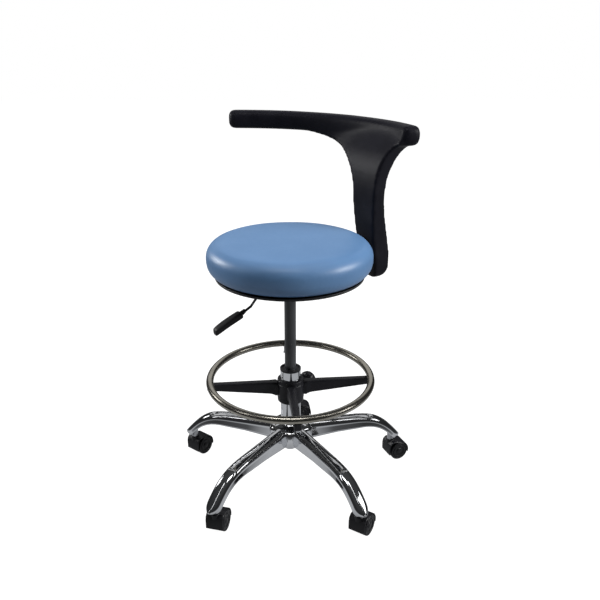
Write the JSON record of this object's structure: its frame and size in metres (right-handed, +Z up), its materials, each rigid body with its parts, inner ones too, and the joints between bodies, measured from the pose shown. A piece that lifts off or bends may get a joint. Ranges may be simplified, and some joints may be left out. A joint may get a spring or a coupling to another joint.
{
  "type": "dentist stool",
  "caption": "Height-adjustable round clinic stool with a blue padded seat, swinging arm support, foot ring, gas lift and chromed star base on twin-wheel casters.",
  "frame": {"origin": "on the floor, under the axis of the column", "axes": "+Z up along the column; +Y away from the front of the seat; +X to the right seen from the front"},
  "size_m": [0.6104, 0.6238, 0.896],
  "materials": {
    "chrome": "polished",
    "weld_steel": "satin",
    "black_nylon": "fine moulded grain",
    "bearing_steel": "ground",
    "piston_rubber": "matte",
    "stage_paint": "satin",
    "black_enamel": "satin",
    "cast_aluminium": "machined",
    "slip_plastic": "smooth",
    "zinc_fastener": "zinc plated",
    "plywood": "raw birch",
    "foam": "open cell foam",
    "blue_vinyl": "satin grain",
    "pan_plastic": "fine grain",
    "grip_plastic": "satin",
    "black_pu": "satin integral skin",
    "black_oxide": "oxide",
    "ring_nickel": "bright nickel",
    "caster_steel": "zinc plated",
    "caster_nylon": "satin",
    "wheel_nylon": "satin"
  },
  "bodies": {
    "base": {"base_hub": "chrome", "caster_sockets": "weld_steel", "column_tube": "chrome", "column_bush": "black_nylon", "thrust_race": "bearing_steel", "thrust_balls": "bearing_steel", "base_arm_1": "chrome", "base_arm_2": "chrome", "base_arm_3": "chrome", "base_arm_4": "chrome", "base_arm_5": "chrome"},
    "rod": {"piston_rod": "bearing_steel", "piston": "piston_rubber", "rod_clip": "bearing_steel"},
    "seat": {"gas_cylinder": "stage_paint", "rod_guide": "bearing_steel", "mount_plate": "black_enamel", "mechanism_housing": "black_enamel", "lever_pin": "bearing_steel", "turntable": "cast_aluminium", "swing_washers": "slip_plastic", "plate_bolts": "zinc_fastener", "tee_nuts": "zinc_fastener", "seat_board": "plywood", "seat_foam": "foam", "seat_cover": "blue_vinyl", "seat_pan": "pan_plastic"},
    "valve": {"valve_pin": "bearing_steel"},
    "lever": {"lever_rod": "black_enamel", "lever_grip": "grip_plastic"},
    "swing_arm": {"swing_bracket": "black_enamel", "arm_insert": "weld_steel", "arm_pad": "black_pu", "arm_bolts": "black_oxide"},
    "ring_carriage": {"ring_liner": "black_nylon"},
    "foot_ring": {"ring_hub": "black_nylon", "ring_tube": "ring_nickel", "ring_screws": "zinc_fastener"},
    "knob": {"clamp_knob": "black_nylon", "clamp_screw": "bearing_steel"},
    "caster_1": {"caster_1_pins": "caster_steel", "caster_1_hood": "caster_nylon"},
    "caster_1_left_wheel": {"caster_1_wheel_left": "wheel_nylon"},
    "caster_1_right_wheel": {"caster_1_wheel_right": "wheel_nylon"},
    "caster_2": {"caster_2_pins": "caster_steel", "caster_2_hood": "caster_nylon"},
    "caster_2_left_wheel": {"caster_2_wheel_left": "wheel_nylon"},
    "caster_2_right_wheel": {"caster_2_wheel_right": "wheel_nylon"},
    "caster_3": {"caster_3_pins": "caster_steel", "caster_3_hood": "caster_nylon"},
    "caster_3_left_wheel": {"caster_3_wheel_left": "wheel_nylon"},
    "caster_3_right_wheel": {"caster_3_wheel_right": "wheel_nylon"},
    "caster_4": {"caster_4_pins": "caster_steel", "caster_4_hood": "caster_nylon"},
    "caster_4_left_wheel": {"caster_4_wheel_left": "wheel_nylon"},
    "caster_4_right_wheel": {"caster_4_wheel_right": "wheel_nylon"},
    "caster_5": {"caster_5_pins": "caster_steel", "caster_5_hood": "caster_nylon"},
    "caster_5_left_wheel": {"caster_5_wheel_left": "wheel_nylon"},
    "caster_5_right_wheel": {"caster_5_wheel_right": "wheel_nylon"}
  },
  "joints": [
    {"name": "seat_swivel", "type": "hinge", "parent": "base", "child": "rod", "pos_m": [0, 0, 0.1], "axis": [0, 0, 1], "continuous": true},
    {"name": "seat_height", "type": "slide", "parent": "rod", "child": "seat", "axis": [0, 0, 1], "range_m": [-0.135, 0]},
    {"name": "swing_turn", "type": "hinge", "parent": "seat", "child": "swing_arm", "pos_m": [0, 0, 0.555], "axis": [0, 0, 1], "continuous": true},
    {"name": "lever_lift", "type": "hinge", "parent": "seat", "child": "lever", "pos_m": [-0.02771, -0.016, 0.54], "axis": [-0.5, 0.866, 0], "range_deg": [0, 5], "stiffness_Nm_per_rad": 4, "springref_deg": -2.86},
    {"name": "valve_press", "type": "slide", "parent": "seat", "child": "valve", "axis": [0, 0, -1], "range_m": [0, 0.003]},
    {"name": "ring_height", "type": "slide", "parent": "base", "child": "ring_carriage", "axis": [0, 0, 1], "range_m": [-0.055, 0.018]},
    {"name": "ring_turn", "type": "hinge", "parent": "ring_carriage", "child": "foot_ring", "pos_m": [0, 0, 0.258], "axis": [0, 0, 1], "continuous": true},
    {"name": "knob_turn", "type": "hinge", "parent": "foot_ring", "child": "knob", "pos_m": [0.03473, 0.03597, 0.257], "axis": [0.6947, 0.7193, 0], "range_deg": [0, 720]},
    {"name": "caster_1_swivel", "type": "hinge", "parent": "base", "child": "caster_1", "pos_m": [0.01221, 0.27973, 0.06], "axis": [0, 0, 1], "continuous": true},
    {"name": "caster_1_left_roll", "type": "hinge", "parent": "caster_1", "child": "caster_1_left_wheel", "pos_m": [0.03114, 0.28139, 0.025], "axis": [-0.0872, 0.9962, 0], "continuous": true},
    {"name": "caster_1_right_roll", "type": "hinge", "parent": "caster_1", "child": "caster_1_right_wheel", "pos_m": [0.03114, 0.28139, 0.025], "axis": [-0.0872, 0.9962, 0], "continuous": true},
    {"name": "caster_2_swivel", "type": "hinge", "parent": "base", "child": "caster_2", "pos_m": [-0.26227, 0.09806, 0.06], "axis": [0, 0, 1], "continuous": true},
    {"name": "caster_2_left_roll", "type": "hinge", "parent": "caster_2", "child": "caster_2_left_wheel", "pos_m": [-0.25057, 0.11303, 0.025], "axis": [-0.788, 0.6157, 0], "continuous": true},
    {"name": "caster_2_right_roll", "type": "hinge", "parent": "caster_2", "child": "caster_2_right_wheel", "pos_m": [-0.25057, 0.11303, 0.025], "axis": [-0.788, 0.6157, 0], "continuous": true},
    {"name": "caster_3_swivel", "type": "hinge", "parent": "base", "child": "caster_3", "pos_m": [-0.1743, -0.21913, 0.06], "axis": [0, 0, 1], "continuous": true},
    {"name": "caster_3_left_roll", "type": "hinge", "parent": "caster_3", "child": "caster_3_left_wheel", "pos_m": [-0.16939, -0.20078, 0.025], "axis": [-0.9659, 0.2588, 0], "continuous": true},
    {"name": "caster_3_right_roll", "type": "hinge", "parent": "caster_3", "child": "caster_3_right_wheel", "pos_m": [-0.16939, -0.20078, 0.025], "axis": [-0.9659, 0.2588, 0], "continuous": true},
    {"name": "caster_4_swivel", "type": "hinge", "parent": "base", "child": "caster_4", "pos_m": [0.15454, -0.23349, 0.06], "axis": [0, 0, 1], "continuous": true},
    {"name": "caster_4_left_roll", "type": "hinge", "parent": "caster_4", "child": "caster_4_left_wheel", "pos_m": [0.16489, -0.21755, 0.025], "axis": [-0.8387, 0.5446, 0], "continuous": true},
    {"name": "caster_4_right_roll", "type": "hinge", "parent": "caster_4", "child": "caster_4_right_wheel", "pos_m": [0.16489, -0.21755, 0.025], "axis": [-0.8387, 0.5446, 0], "continuous": true},
    {"name": "caster_5_swivel", "type": "hinge", "parent": "base", "child": "caster_5", "pos_m": [0.26982, 0.07483, 0.06], "axis": [0, 0, 1], "continuous": true},
    {"name": "caster_5_left_roll", "type": "hinge", "parent": "caster_5", "child": "caster_5_left_wheel", "pos_m": [0.28743, 0.08194, 0.025], "axis": [-0.3746, 0.9272, 0], "continuous": true},
    {"name": "caster_5_right_roll", "type": "hinge", "parent": "caster_5", "child": "caster_5_right_wheel", "pos_m": [0.28743, 0.08194, 0.025], "axis": [-0.3746, 0.9272, 0], "continuous": true}
  ],
  "couplings": [
    {"joint": "valve_press", "follows": "lever_lift", "m_per_rad": 0.032}
  ]
}
